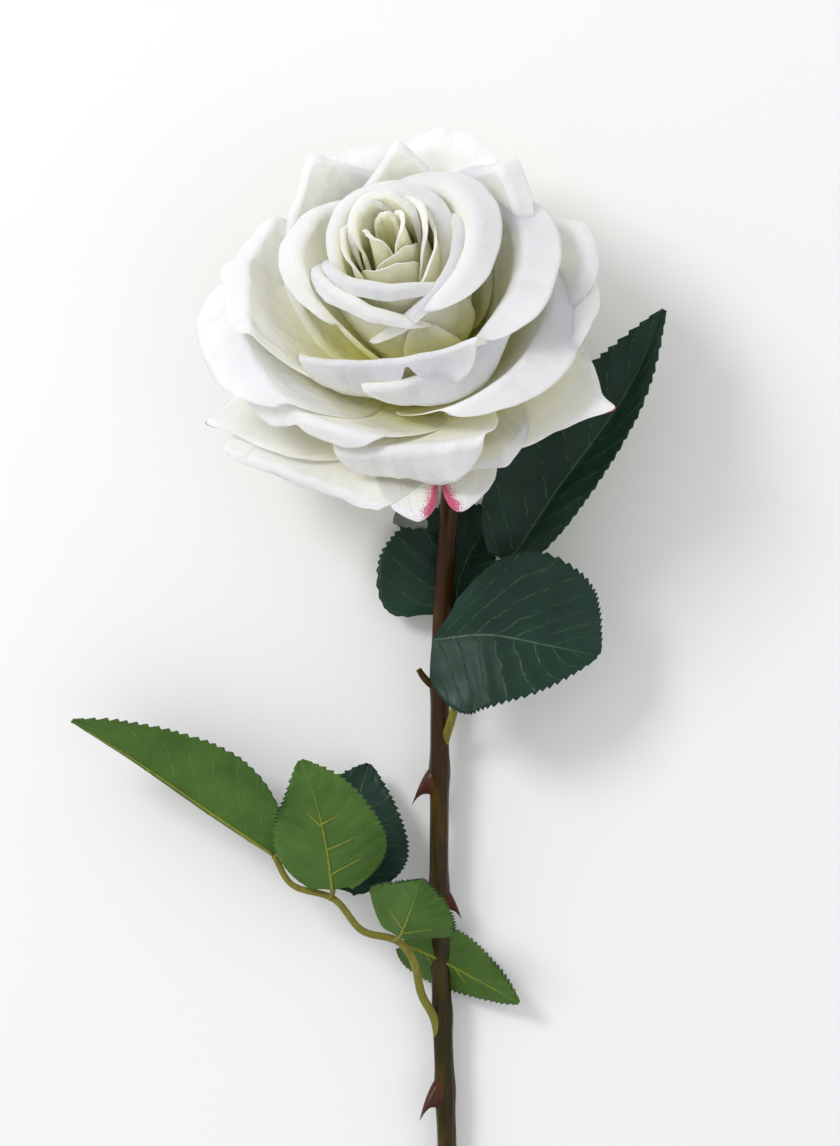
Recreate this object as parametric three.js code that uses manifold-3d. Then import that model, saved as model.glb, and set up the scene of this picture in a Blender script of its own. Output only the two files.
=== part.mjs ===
// A cut rose lying on its back on a table: one full white bloom on a thorny stem with two
// leaf sprays. Millimetres, +Z up. The stem runs along Y with the bloom at +Y, and the
// bloom's face is turned up and towards +Y. The origin is the bottom centre of the whole box.
import * as THREE from 'three';
import { mergeVertices } from 'three/addons/utils/BufferGeometryUtils.js';
import Module from 'manifold-3d';

const wasm = await Module();
wasm.setup();
const { Manifold, Mesh: Solid } = wasm;

// ---------------------------------------------------------------- driving dimensions
const BLOOM_WIDTH = 120;        // across the outermost petals
const BLOOM_TILT = 40;          // bloom axis away from straight up, degrees
const BLOOM_LEAN = 18;          // and turned to the left of the stem line, degrees
const PETAL_THICKNESS = 0.5;
const STEM_LENGTH = 350;        // from the hip to the cut end
const STEM_RADIUS = 2.7;
const HIP_RADIUS = 8.5;
const HIP_LENGTH = 14;          // below the outermost petals
const CORE_HEIGHT = 50;         // of the core that the petals are glued round
const CORE_RADIUS = 23.8;
const LEAF_SIZE = 1;            // factor on the length and width of every leaflet
const LEAF_THICKNESS = 0.6;
const STALK_RADIUS = 1.05;
const THORN_LENGTH = 6;
const GAP = 0.2;                // between pieces that touch
const BLOOM_HEIGHT = 19;        // hip centre above the design floor
const SLIVER = 0.004;           // shorter edges than this are merged away
const FACET = 0.08;             // how far a facet may stray from the shape

const TABLED_WIDTH = 120;       // the petal list below is written for this bloom width
const bloom = BLOOM_WIDTH / TABLED_WIDTH;
const rad = THREE.MathUtils.degToRad;
const V = (x, y, z) => new THREE.Vector3(x, y, z);

// ---------------------------------------------------------------- colours
const finish = (color, roughness) => new THREE.MeshStandardMaterial({ color, roughness });
const petalWhite = finish(0xf1f0e6, 0.6);
const leafGreen = finish(0x2a4a37, 0.6);
const sepalGreen = finish(0x7d8c78, 0.7);
const stemBrown = finish(0x4a3018, 0.45);
const stalkOlive = finish(0x7c7a22, 0.5);

// ---------------------------------------------------------------- solids
const rose = new THREE.Group();
rose.name = 'cut_rose';
const placed = [];              // each piece so far, the same grown by GAP, and the box of that

function toSolid(geometry) {
  let g = geometry.clone();
  g.deleteAttribute('normal');
  g.deleteAttribute('uv');
  g = mergeVertices(g, 1e-4);
  return new Manifold(new Solid({
    numProp: 3,
    vertProperties: new Float32Array(g.attributes.position.array),
    triVerts: new Uint32Array(g.index.array),
  }));
}

function toGeometry(solid) {
  const mesh = solid.getMesh();
  const g = new THREE.BufferGeometry();
  g.setAttribute('position', new THREE.BufferAttribute(Float32Array.from(mesh.vertProperties), 3));
  g.setIndex([...mesh.triVerts]);
  g.computeVertexNormals();
  return g;
}

const largest = (solid) => solid.decompose().reduce((a, b) => (b.volume() > a.volume() ? b : a));

// Each piece stops short of those placed before it, and keeps its largest body.
function place(name, solid, grown, material) {
  const box = grown.boundingBox();
  const near = placed.filter((other) => [0, 1, 2].every(
    (k) => box.min[k] <= other.box.max[k] && box.max[k] >= other.box.min[k]));
  let body = solid;
  for (const other of near) body = body.subtract(other.grown);
  body = largest(largest(body).simplify(FACET));
  for (const other of near) {
    if (body.intersect(other.body).volume() > 0.004) body = body.subtract(other.body);
  }
  body = largest(body.simplify(SLIVER));
  placed.push({ body, grown, box });
  const mesh = new THREE.Mesh(toGeometry(body), material);
  mesh.name = name;
  rose.add(mesh);
}

// A sheet: surface(u, v) for u in -1..1 and v in 0..1, given a thickness. Both faces are cut
// into triangles along the same diagonals, so that a warped sheet keeps its thickness.
function sheet(surface, nu, nv, thickness) {
  const step = 1e-3;
  const points = [];
  for (const face of [0.5, -0.5]) {
    for (let j = 0; j <= nv; j++) {
      for (let i = 0; i <= nu; i++) {
        const [u, v] = [2 * i / nu - 1, j / nv];
        const along = surface(u, v + step).sub(surface(u, v - step));
        const across = surface(u + step, v).sub(surface(u - step, v));
        const normal = across.cross(along).normalize();
        points.push(...surface(u, v).addScaledVector(normal, face * thickness).toArray());
      }
    }
  }
  const under = (nu + 1) * (nv + 1);
  const at = (i, j) => j * (nu + 1) + i;
  const triangles = [];
  for (let j = 0; j < nv; j++) {
    for (let i = 0; i < nu; i++) {
      const [a, b, c, d] = [at(i, j), at(i + 1, j), at(i + 1, j + 1), at(i, j + 1)];
      triangles.push(a, b, c, a, c, d, under + a, under + c, under + b, under + a, under + d, under + c);
    }
  }
  const wall = (p, q) => triangles.push(q, p, under + p, q, under + p, under + q);
  for (let i = 0; i < nu; i++) {
    wall(at(i, 0), at(i + 1, 0));
    wall(at(i + 1, nv), at(i, nv));
  }
  for (let j = 0; j < nv; j++) {
    wall(at(nu, j), at(nu, j + 1));
    wall(at(0, j + 1), at(0, j));
  }
  return new Manifold(new Solid({
    numProp: 3,
    vertProperties: new Float32Array(points),
    triVerts: new Uint32Array(triangles),
  }));
}

function placeSheet(name, surface, nu, nv, thickness, material) {
  place(name, sheet(surface, nu, nv, thickness), sheet(surface, nu, nv, thickness + 2 * GAP), material);
}

// A round rod along points, with a radius at its start and its end.
function rod(points, radius, endRadius, steps, sides) {
  const path = new THREE.CatmullRomCurve3(points);
  const ring = new THREE.Shape().absarc(0, 0, 1, 0, 2 * Math.PI);
  const outline = new THREE.Shape(ring.getSpacedPoints(sides).slice(0, sides));
  const g = new THREE.ExtrudeGeometry(outline, { steps, bevelEnabled: false, extrudePath: path });
  const at = g.attributes.position;
  const p = V();
  const spine = path.getSpacedPoints(steps);
  for (let i = 0; i < at.count; i++) {
    p.fromBufferAttribute(at, i);
    let k = 0;
    for (let j = 1; j <= steps; j++) if (spine[j].distanceTo(p) < spine[k].distanceTo(p)) k = j;
    p.sub(spine[k]).multiplyScalar(radius + (endRadius - radius) * k / steps).add(spine[k]);
    at.setXYZ(i, p.x, p.y, p.z);
  }
  return toSolid(g);
}

// ---------------------------------------------------------------- bloom frame
const tilt = rad(BLOOM_TILT);
const lean = rad(BLOOM_LEAN);
const hip = V(2.3, 57.7, BLOOM_HEIGHT);
const axis = V(-Math.sin(tilt) * Math.sin(lean), Math.sin(tilt) * Math.cos(lean), Math.cos(tilt));
const front = V(Math.cos(tilt) * Math.sin(lean), -Math.cos(tilt) * Math.cos(lean), Math.sin(tilt));
const side = V(Math.cos(lean), Math.sin(lean), 0);

// ---------------------------------------------------------------- petals
// Every rim is a plain lip that leans out.
const LIP_TURN = rad(70);
const PETAL = {
  start: 40,        // lean of the petal at its foot, degrees up from flat
  lean: 80,         // and at its rim
  wrap: 1,          // curvature radius across the petal, times its distance from the axis
  base: 0.14,       // width at the foot, times the half-width
  band: 4,          // depth of the lip
  skew: 0,          // lifts the right side over the left, degrees
  tip: 0, notch: 0, // point or cut in the middle of the rim
  drop: 0.28, corner: 2.4,       // how far the rim falls at its sides, and how late
  ruffle: 0,
};

// How far a lip is moved along and out of the petal, at a depth past its fold.
function lipAt(depth, radius) {
  const d = Math.max(depth, 0);
  const arc = Math.min(d / radius, LIP_TURN);
  return {
    along: radius * Math.sin(arc) + (d - arc * radius) * Math.cos(LIP_TURN) - d,
    out: radius * (1 - Math.cos(arc)) + (d - arc * radius) * Math.sin(LIP_TURN),
  };
}

// Rows up a petal: four up to the lip and two over it.
const ROWS = 6;
const COLUMN_TURN = 0.55;         // radians round the axis from one column to the next
const LIP_STARTS = 4 / ROWS;
const spaced = (row, lipFrom) => (row < LIP_STARTS
  ? lipFrom * row / LIP_STARTS
  : lipFrom + (1 - lipFrom) * (row - LIP_STARTS) / (1 - LIP_STARTS));

function profileOf(p) {
  const [r0, h0] = p.foot;
  const [r1, h1] = p.rim;
  const d = Math.hypot(r1 - r0, h1 - h0);
  const steps = 40;
  const line = [];
  let length = 0;
  for (let i = 0; i <= steps; i++) {
    const t = i / steps;
    const end = 3 * t ** 2 - 2 * t ** 3;
    const [leave, arrive] = [d * (t ** 3 - 2 * t ** 2 + t), d * (t ** 3 - t ** 2)];
    const r = (1 - end) * r0 + end * r1 + leave * Math.cos(rad(p.start)) + arrive * Math.cos(rad(p.lean));
    const h = (1 - end) * h0 + end * h1 + leave * Math.sin(rad(p.start)) + arrive * Math.sin(rad(p.lean));
    if (i) length += Math.hypot(r - line[i - 1].r, h - line[i - 1].h);
    line.push({ r, h, length });
  }
  return line;
}

function onProfile(line, distance) {
  const last = line.length - 1;
  let i = 1;
  while (i < last && line[i].length < distance) i++;
  const [a, b] = [line[i - 1], line[i]];
  const span = b.length - a.length;
  const t = Math.max((distance - a.length) / span, 0);
  const cos = (b.r - a.r) / span;
  const sin = (b.h - a.h) / span;
  return { r: a.r + (b.r - a.r) * t, h: a.h + (b.h - a.h) * t, cos, sin };
}

function petalSurface(given) {
  const p = { ...PETAL, ...given };
  const lipRadius = Math.max(p.band / LIP_TURN, 1);
  const line = profileOf(p);
  const upright = line[line.length - 1].length;
  const [sinAt, cosAt] = [Math.sin(rad(p.at)), Math.cos(rad(p.at))];
  const facing = front.clone().multiplyScalar(cosAt).addScaledVector(side, sinAt);
  const across = side.clone().multiplyScalar(cosAt).addScaledVector(front, -sinAt);
  return (u, row) => {
    const length = (upright + p.band) * (1 - p.drop * Math.abs(u) ** p.corner)
      + p.tip * Math.exp(-((u / 0.16) ** 2)) - p.notch * Math.exp(-Math.abs(u) / 0.1);
    const v = spaced(row, 1 - p.band / length);
    const grow = Math.sin(Math.min(Math.max(v, 0) / 0.6, 1) * Math.PI / 2) ** 1.1;
    const late = Math.max((v - 0.6) / 0.4, 0);
    const half = p.wide * (p.base + (1 - p.base) * grow) * (1 - 0.14 * late * late);
    const lip = lipAt(p.band - (1 - v) * length, lipRadius);
    const x = u * half;
    const y = v * length + lip.along + x * Math.tan(rad(p.skew)) * Math.min(v * 1.5, 1);
    const wave = p.ruffle * v ** 3;
    const out = lip.out + wave * (Math.sin(3.1 * u + p.at) + 0.6 * Math.sin(6.3 * u)) * 0.6;
    const s = onProfile(line, Math.max(y, 0));
    const bendRadius = Math.max(s.r, 3) * p.wrap;
    const turn = x / bendRadius;
    const reach = bendRadius + out * s.sin;
    return hip.clone()
      .addScaledVector(facing, bloom * (s.r - bendRadius + reach * Math.cos(turn)))
      .addScaledVector(across, bloom * reach * Math.sin(turn))
      .addScaledVector(axis, bloom * (s.h - out * s.cos));
  };
}

// Inner petals first. at: direction round the axis, 0 at the front. rim: [distance, height].
const petals = [
  ['heart_1', { at: 150, rim: [3, 66], wide: 5.5, band: 2, lean: 92, start: 70, base: 0.35 }],
  ['heart_2', { at: -60, rim: [4.4, 66], wide: 8, band: 2, lean: 92, start: 70, base: 0.35 }],
  ['heart_3', { at: 80, rim: [5.6, 67], wide: 10.5, band: 2, lean: 92, start: 68 }],
  ['heart_4', { at: -150, rim: [6.8, 67], wide: 13, band: 3, lean: 92, start: 66 }],
  ['heart_5', { at: 10, rim: [7.8, 60], wide: 14, band: 1, lean: 94, start: 64, skew: 12 }],
  ['heart_ring', { at: 175, rim: [8.8, 66], wide: 20, band: 4, lean: 90, start: 62 }],
  ['heart_6', { at: -24, rim: [10, 58], wide: 17, band: 1, lean: 94, start: 60, skew: 16 }],
  ['bud_left', { at: -104, rim: [11.6, 62], wide: 16, band: 2, lean: 90, start: 58 }],
  ['bud_right', { at: 110, rim: [11.2, 63], wide: 20, band: 3, lean: 90, start: 56 }],
  ['bud_back', { at: 170, rim: [14.5, 60.5], wide: 32, band: 8, lean: 84, start: 54 }],
  ['bud_face', { at: 66, rim: [13.8, 58], wide: 26, band: 2, lean: 92, start: 52, skew: 18 }],
  ['band_upper', { at: -44, rim: [14.5, 57.5], wide: 30, band: 8, lean: 90, start: 50, wrap: 1.5,
    skew: 6 }],
  ['band_lower', { at: -58, rim: [19, 54.5], wide: 28, band: 7, lean: 86, start: 46, wrap: 1.3 }],
  ['band_right', { at: 40, rim: [19, 55], wide: 30, band: 8, lean: 86, start: 46, skew: 18 }],
  ['cup_left', { at: -130, rim: [25, 54], wide: 28, band: 8, lean: 76, start: 42 }],
  ['fold_front', { at: -24, rim: [28, 40], wide: 31, band: 8, lean: 74, start: 40, wrap: 2.6, skew: 14,
    drop: 0.04 }],
  ['cup_right', { at: 98, rim: [22.5, 57], wide: 38, band: 8, lean: 80, start: 40, skew: -4, drop: 0.2 }],
  ['fold_right', { at: 13, rim: [32, 38], wide: 30, band: 8, lean: 70, start: 36, wrap: 1.15, skew: 14,
    drop: 0.06 }],
  ['wing_left', { at: -114, rim: [42, 45], wide: 25, band: 8, lean: 62, start: 38, wrap: 2, tip: 3,
    drop: 0.04 }],
  ['peak_back', { at: 161, rim: [33, 54], wide: 29, band: 4, lean: 76, start: 38, tip: 4, drop: 0.36,
    corner: 1.2 }],
  ['peak_left', { at: -163, rim: [40, 53], wide: 34, band: 4, lean: 72, start: 36, tip: 4, drop: 0.36,
    corner: 1.2 }],
  ['ridge_right', { at: 80, rim: [34, 45], wide: 34, band: 8, lean: 76, start: 36, drop: 0.14 }],
  ['roll_left', { at: -93, rim: [46, 36], wide: 28, band: 8, lean: 52, start: 34, wrap: 2, skew: -8,
    drop: 0.06, corner: 4 }],
  ['peak_right', { at: 114, rim: [38, 50], wide: 32, band: 8, lean: 72, start: 32, tip: 4, drop: 0.3,
    corner: 1.5 }],
  ['back_right', { at: 143, rim: [43, 47], wide: 30, band: 8, lean: 68, start: 32 }],
  ['back_left', { at: -178, rim: [40, 46], wide: 32, band: 8, lean: 66, start: 32 }],
  ['wave_left', { at: -63, rim: [43, 28], wide: 32, band: 8, lean: 46, start: 30, wrap: 2, skew: -8,
    drop: 0.05, ruffle: 1.5 }],
  ['roll_front', { at: -16, rim: [44, 21], wide: 25, band: 8, lean: 42, start: 26, wrap: 2.6, skew: 14,
    drop: 0.04 }],
  ['broad_right', { at: 47, rim: [41, 30], wide: 36, band: 8, lean: 54, start: 28, drop: 0.12 }],
  ['round_right', { at: 90, rim: [50, 32], wide: 25, band: 8, lean: 54, start: 26 }],
  ['wave_right', { at: 68, rim: [48, 27], wide: 32, band: 8, lean: 46, start: 22, ruffle: 1.2 }],
  ['guard_point', { at: 13, rim: [47, 10], wide: 20, band: 5, lean: 24, start: 16, tip: 3, corner: 1.6 }],
  ['guard_notched', { at: -9, rim: [54, 4], wide: 19, band: 4, lean: 6, start: 10, notch: 16,
    drop: 0.14 }],
  ['guard_left', { at: -57, rim: [50, 5], wide: 30, band: 5, lean: 14, start: 12, wrap: 3, skew: -12,
    drop: -0.1, corner: 4 }],
  ['guard_tip_left', { at: -88, rim: [57, 10], wide: 26, band: 3, lean: 20, start: 12, wrap: 1.6, tip: 6,
    drop: 0.3, corner: 1.3 }],
  ['guard_tip_right', { at: 46, rim: [56, 10], wide: 26, band: 3, lean: 18, start: 12, wrap: 1.6, tip: 6,
    drop: 0.32, corner: 1.3 }],
  ['under_left', { at: -120, rim: [52, 2], wide: 23, band: 4, lean: 10, start: 0 }],
  ['under_right', { at: 122, rim: [52, 2], wide: 23, band: 4, lean: 10, start: 0 }],
];

const FOOT_TOP = [2.2, 13];       // foot of the innermost petal on the hip
const FOOT_STEP = [0.3, -0.32];   // and how far each next one moves out and down

// ---------------------------------------------------------------- hip and stem
const hipShape = [[0, 2], [0.95, 2], [1, -2], [0.85, -7], [0.45, -HIP_LENGTH + 1], [0.36, -HIP_LENGTH],
  [0, -HIP_LENGTH]];
const coreTop = CORE_HEIGHT * bloom;
const coreShape = [[0, coreTop], [0.14, coreTop * 0.96], [0.36, coreTop * 0.82], [0.68, coreTop * 0.56],
  [0.93, coreTop * 0.36], [1, coreTop * 0.22], [0.82, coreTop * 0.1], [0.32, 2 + GAP], [0, 2 + GAP]];
// A turned solid on the bloom's axis, from [share of the hip's radius, height] down its side.
function turned(shape, grow, radius) {
  const outline = shape.map(([r, h], i) => new THREE.Vector2(
    r ? radius * r + grow : 0, i < 2 ? h + grow : i > shape.length - 3 ? h - grow : h));
  const g = new THREE.LatheGeometry(outline.reverse(), 14);
  g.rotateX(Math.PI / 2);
  g.applyQuaternion(new THREE.Quaternion().setFromUnitVectors(V(0, 0, 1), axis));
  g.translate(hip.x, hip.y, hip.z);
  return toSolid(g);
}
place('hip', turned(hipShape, 0, HIP_RADIUS), turned(hipShape, GAP, HIP_RADIUS), sepalGreen);
const coreRadius = CORE_RADIUS * bloom;
place('core', turned(coreShape, 0, coreRadius), turned(coreShape, GAP, coreRadius), petalWhite);

// The bloom rests on its back petals, and the stem comes down to the same table.
const footOf = (i) => [FOOT_TOP[0] + FOOT_STEP[0] * i, FOOT_TOP[1] + FOOT_STEP[1] * i];
function lowestOf([, p], i) {
  const surface = petalSurface({ ...p, foot: footOf(i) });
  let low = Infinity;
  for (let u = -4; u <= 4; u++) {
    for (let row = 1; row <= ROWS; row++) low = Math.min(low, surface(u / 4, row / ROWS).z);
  }
  return low - PETAL_THICKNESS / 2;
}
const floor = Math.min(...petals.map(lowestOf));
const neck = hip.clone().addScaledVector(axis, -HIP_LENGTH - 3);
const stemEnd = hip.y - STEM_LENGTH;
// The stem falls evenly from the neck to its cut end on the table.
const stemHeight = (y) => THREE.MathUtils.mapLinear(y, neck.y, stemEnd, neck.z - 1, floor + STEM_RADIUS);
const stemAt = (y, x) => V(x, y, stemHeight(y));
const stemPoints = [
  hip.clone().addScaledVector(axis, -HIP_LENGTH + 1), neck, stemAt(39, 10), stemAt(19.7, 8.7),
  stemAt(-19, 6.2), stemAt(-60, 5.7), stemAt(-104, 5.8), stemAt(-166, 7.8), stemAt(stemEnd, 12),
];
const stemPath = new THREE.CatmullRomCurve3(stemPoints);

// A hooked thorn on the stem at a distance down Y, pointing to one side and back down the stem.
function thornSolid(y, direction, size, grow) {
  const near = (a, b) => (Math.abs(b.y - y) < Math.abs(a.y - y) ? b : a);
  const spine = stemPath.getSpacedPoints(300).reduce(near);
  const [dx, dz] = [Math.cos(rad(direction)), Math.sin(rad(direction))];
  const out = (r, down) => V(spine.x + dx * r, y - down, spine.z + dz * r);
  const reach = STEM_RADIUS + THORN_LENGTH * size;
  return rod([out(STEM_RADIUS * 0.4, -2), out(STEM_RADIUS + 2 * size, 0), out(reach, 6 * size)],
    1.9 * size + grow, 0.3 + grow, 3, 5);
}
const thorns = [
  [-62, 180, 1], [-97, 20, 0.8], [-154, 165, 1], [-28, 175, 0.75], [-205, 10, 0.9], [-248, 170, 0.8],
];
function stemSolid(grow) {
  let solid = rod(stemPoints, STEM_RADIUS + grow, STEM_RADIUS * 1.08 + grow, 26, 8);
  for (const [y, direction, size] of thorns) solid = solid.add(thornSolid(y, direction, size, grow));
  return solid;
}
place('stem', stemSolid(0), stemSolid(GAP), stemBrown);

petals.forEach(([name, p], i) => {
  const columns = THREE.MathUtils.clamp(Math.ceil(2 * p.wide / p.rim[0] / COLUMN_TURN), 4, 8);
  const surface = petalSurface({ ...p, foot: footOf(i) });
  placeSheet(`petal_${name}`, surface, columns, ROWS, PETAL_THICKNESS, petalWhite);
});

// ---------------------------------------------------------------- sepals
const sepals = [
  { at: -31, rim: [36, -26], start: -30, lean: -45 },
  { at: 41, rim: [32, -14], start: -20, lean: -30 },
  { at: 113, rim: [30, 1], start: 0, lean: 10 },
  { at: -175, rim: [28, 2], start: 0, lean: 12 },
  { at: -103, rim: [30, -2], start: 0, lean: 5 },
];
function sepalSurface(s) {
  const foot = [HIP_RADIUS * 0.85 / bloom, -3 / bloom];
  const petal = petalSurface({ ...s, foot, wide: 6, band: 0.5, base: 0.7, drop: 0 });
  return (u, v) => petal(u * (1 - 0.85 * Math.max(v, 0) ** 2.2), v);
}
sepals.forEach((s, i) => {
  placeSheet(`sepal_${i + 1}`, sepalSurface(s), 4, ROWS, PETAL_THICKNESS, sepalGreen);
});

// ---------------------------------------------------------------- leaves
// points: the midrib from base to tip. face: roll of the blade about the midrib, degrees, 0 with
// its upper side up. half: [left, right] half-widths. fold: how far each half rises, degrees.
// slant: how far each half leans towards the tip, times its width.
function leafSurface({ points, face, half, fold, bulge = 0.72, slant = [0, 0] }) {
  const midrib = new THREE.CatmullRomCurve3(points);
  const [start] = points;
  return (u, v) => {
    const t = Math.min(Math.max(v, 0), 1);
    const along = midrib.getTangent(t);
    const across = along.clone().cross(V(0, 0, 1)).normalize();
    const up = across.clone().cross(along);
    const blade = across.multiplyScalar(Math.cos(rad(face))).addScaledVector(up, Math.sin(rad(face)));
    const normal = blade.clone().cross(along);
    const rise = rad(u < 0 ? fold[0] : fold[1]) * Math.tanh(Math.abs(u) * 6);
    const outline = Math.sin(Math.PI * (0.035 + 0.955 * t) ** bulge) ** 0.85;
    const reach = (u < 0 ? half[0] : half[1]) * Math.max(outline, 0.04);
    const p = midrib.getPoint(t)
      .addScaledVector(blade, u * reach * Math.cos(rise))
      .addScaledVector(normal, Math.abs(u) * reach * Math.sin(rise))
      .addScaledVector(along, (u < 0 ? slant[0] : slant[1]) * reach * Math.abs(u));
    return p.sub(start).multiplyScalar(LEAF_SIZE).add(start);
  };
}

// Leaf points are heights above the stem's centre where the spray leaves it.
const onSpray = (points, y) => points.map((p) => p.clone().add(V(0, 0, stemHeight(y))));
const UPPER_NODE = -46;
const LOWER_NODE = -132;
const upperStalk = [V(8.4, -46, 4.5), V(10.6, -36, 8), V(13.5, -22, 11.5), V(19, -10, 11.5),
  V(26, 2.6, 10.5)];
const lowerStalk = [V(4, -132, 3.5), V(0.5, -126, 5.5), V(-2, -113, 9.5), V(-7, -107, 11.5),
  V(-17, -104, 12.5), V(-25, -95, 12.5), V(-37, -91, 11.5), V(-42.6, -82.4, 10.5)];
const leaflets = [
  ['upper_tip', { points: [V(26, 2.6, 10.5), V(39, 23, 13.5), V(59, 51, 17.5), V(70.8, 76, 22.5)],
    face: 12, half: [20, 13], fold: [12, 40] }],
  ['upper_left', { points: [V(11.4, -12, -0.5), V(11.2, -4, -3.4), V(16, 8, -4.4), V(25, 18, -4.6)],
    face: 0, half: [24, 15], fold: [2, 52], bulge: 0.6 }],
  ['upper_front', { points: [V(3.5, -19.5, 13.5), V(20, -18, 17.5), V(37, -21, 18), V(51.5, -24, 15.5)],
    face: 4, half: [23, 23], fold: [8, 12], bulge: 0.62, slant: [0.85, -0.1] }],
  ['lower_tip', { points: [V(-42.6, -82.4, 10.5), V(-62, -69, 13.5), V(-82, -55, 16.5),
    V(-101, -43, 20.5)], face: 205, half: [17, 17], fold: [20, 70] }],
  ['lower_mid_front', { points: [V(-25.5, -92, 16.5), V(-27, -80, 22.5), V(-30, -66, 27.5),
    V(-34.5, -54, 29.5)], face: 190, half: [17, 16], fold: [10, 14] }],
  ['lower_mid_back', { points: [V(-25, -92, 8.5), V(-22, -80, 5.5), V(-18, -66, 2.5), V(-15, -56, 0.5)],
    face: -6, half: [18, 18], fold: [8, 10] }],
  ['lower_base_left', { points: [V(-6, -106, 16.5), V(-4, -101, 23.5), V(-1.5, -94, 29.5),
    V(0, -88, 33.5)], face: 185, half: [14, 14], fold: [20, 20] }],
  ['lower_base_right', { points: [V(-5, -108.5, 5.5), V(5, -113, 2.3), V(18, -120, 1.9),
    V(29, -126, 2.5)], face: 190, half: [9, 10], fold: [50, 8] }],
];

function stalkSolid(spine, branches, grow) {
  let solid = rod(spine, STALK_RADIUS * 1.35 + grow, STALK_RADIUS * 0.8 + grow, 14, 8);
  for (const branch of branches) {
    solid = solid.add(rod(branch, STALK_RADIUS * 0.8 + grow, STALK_RADIUS * 0.6 + grow, 3, 8));
  }
  return solid;
}
const upperBranches = [[V(15.5, -18, 11), V(13.6, -15.5, 6), V(11.8, -12.8, 0.2)],
  [V(13, -23, 11), V(11.5, -20, 13.5), V(9.5, -19, 15.1)]];
const lowerBranches = [[V(-26, -95, 12.5), V(-25.6, -93, 14.5), V(-25.5, -91, 16.8)],
  [V(-26, -95, 12.5), V(-25.4, -93, 10.5), V(-25, -91, 8.1)],
  [V(-8, -107, 11.5), V(-6.8, -106.4, 14), V(-6, -105, 17.1)],
  [V(-8, -107, 11.5), V(-6.2, -107.6, 8.5), V(-4.5, -108.4, 5.1)]];
for (const [name, node, spine, branches] of [
  ['stalk_upper', UPPER_NODE, upperStalk, upperBranches],
  ['stalk_lower', LOWER_NODE, lowerStalk, lowerBranches],
]) {
  const [line, ...twigs] = [spine, ...branches].map((points) => onSpray(points, node));
  place(name, stalkSolid(line, twigs, 0), stalkSolid(line, twigs, GAP), stalkOlive);
}
for (const [name, leaf] of leaflets) {
  const points = onSpray(leaf.points, name.startsWith('upper') ? UPPER_NODE : LOWER_NODE);
  placeSheet(`leaflet_${name}`, leafSurface({ ...leaf, points }), 6, 9, LEAF_THICKNESS, leafGreen);
}

// ---------------------------------------------------------------- origin at the bottom centre
const whole = new THREE.Box3().setFromObject(rose);
const centre = whole.getCenter(V());
for (const mesh of rose.children) mesh.geometry.translate(-centre.x, -centre.y, -whole.min.z);

export default rose;
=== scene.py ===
"""A cut rose lying on its back on a pale table: white bloom, thorny stem, two leaf sprays.

Every point and size below is in millimetres in the rose's own design space, the one the
CAD model is drawn in: the stem runs down -Y, and +Z is up from the table. `place` moves a
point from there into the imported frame.
"""
import math

import bpy
import numpy as np
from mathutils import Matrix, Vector


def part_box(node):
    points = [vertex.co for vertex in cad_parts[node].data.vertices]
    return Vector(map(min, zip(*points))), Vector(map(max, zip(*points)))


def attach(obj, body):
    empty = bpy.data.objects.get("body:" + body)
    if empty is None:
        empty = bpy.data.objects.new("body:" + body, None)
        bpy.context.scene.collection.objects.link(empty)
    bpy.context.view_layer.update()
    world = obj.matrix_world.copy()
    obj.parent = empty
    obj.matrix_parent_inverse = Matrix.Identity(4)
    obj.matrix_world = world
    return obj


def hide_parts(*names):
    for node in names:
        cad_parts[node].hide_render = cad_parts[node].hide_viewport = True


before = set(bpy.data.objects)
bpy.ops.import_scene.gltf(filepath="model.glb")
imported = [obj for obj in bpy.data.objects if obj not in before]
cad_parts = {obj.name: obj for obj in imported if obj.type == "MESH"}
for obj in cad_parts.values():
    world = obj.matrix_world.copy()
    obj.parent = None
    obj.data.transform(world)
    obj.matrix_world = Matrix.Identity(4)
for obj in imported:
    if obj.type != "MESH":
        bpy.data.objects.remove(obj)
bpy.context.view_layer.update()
MM = 0.001
TAU = 2 * math.pi
rad = math.radians

# ------------------------------------------------------------------ bloom frame
BLOOM_TILT, BLOOM_LEAN = rad(40), rad(18)
HIP_RADIUS, HIP_LENGTH = 8.5, 14
HIP = np.array([2.3, 57.7, 19.0])
AXIS = np.array([-math.sin(BLOOM_TILT) * math.sin(BLOOM_LEAN),
                 math.sin(BLOOM_TILT) * math.cos(BLOOM_LEAN), math.cos(BLOOM_TILT)])
FRONT = np.array([math.cos(BLOOM_TILT) * math.sin(BLOOM_LEAN),
                  -math.cos(BLOOM_TILT) * math.cos(BLOOM_LEAN), math.sin(BLOOM_TILT)])
SIDE = np.array([math.cos(BLOOM_LEAN), math.sin(BLOOM_LEAN), 0.0])

# (share of the hip's radius, height on the bloom's axis), from the top down
HIP_SHAPE = [(0.0, 2), (0.95, 2), (1.0, -2), (0.85, -7), (0.45, -13), (0.36, -14)]


def hip_middle():
    """Centre of the hip's own box in design space."""
    across = np.sqrt(1 - AXIS ** 2)
    high = extreme([h * AXIS + HIP_RADIUS * r * across for r, h in HIP_SHAPE], np.max)
    low = extreme([h * AXIS - HIP_RADIUS * r * across for r, h in HIP_SHAPE], np.min)
    return HIP + (high + low) / 2


def extreme(points, pick):
    """The highest or lowest of each coordinate; pick is np.max or np.min."""
    return pick(np.array(points), axis=0)


hip_low, hip_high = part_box("hip")
SHIFT = (np.array(hip_low) + np.array(hip_high)) / 2 / MM - hip_middle()


def place(points):
    """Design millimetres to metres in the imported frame."""
    return (np.asarray(points, float) + SHIFT) * MM


# ------------------------------------------------------------------ making meshes
def nothing_selected():
    bpy.ops.object.select_all(action="DESELECT")


def apply_modifiers(piece):
    bpy.context.view_layer.objects.active = piece
    for modifier in list(piece.modifiers):
        bpy.ops.object.modifier_apply(modifier=modifier.name)


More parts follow.
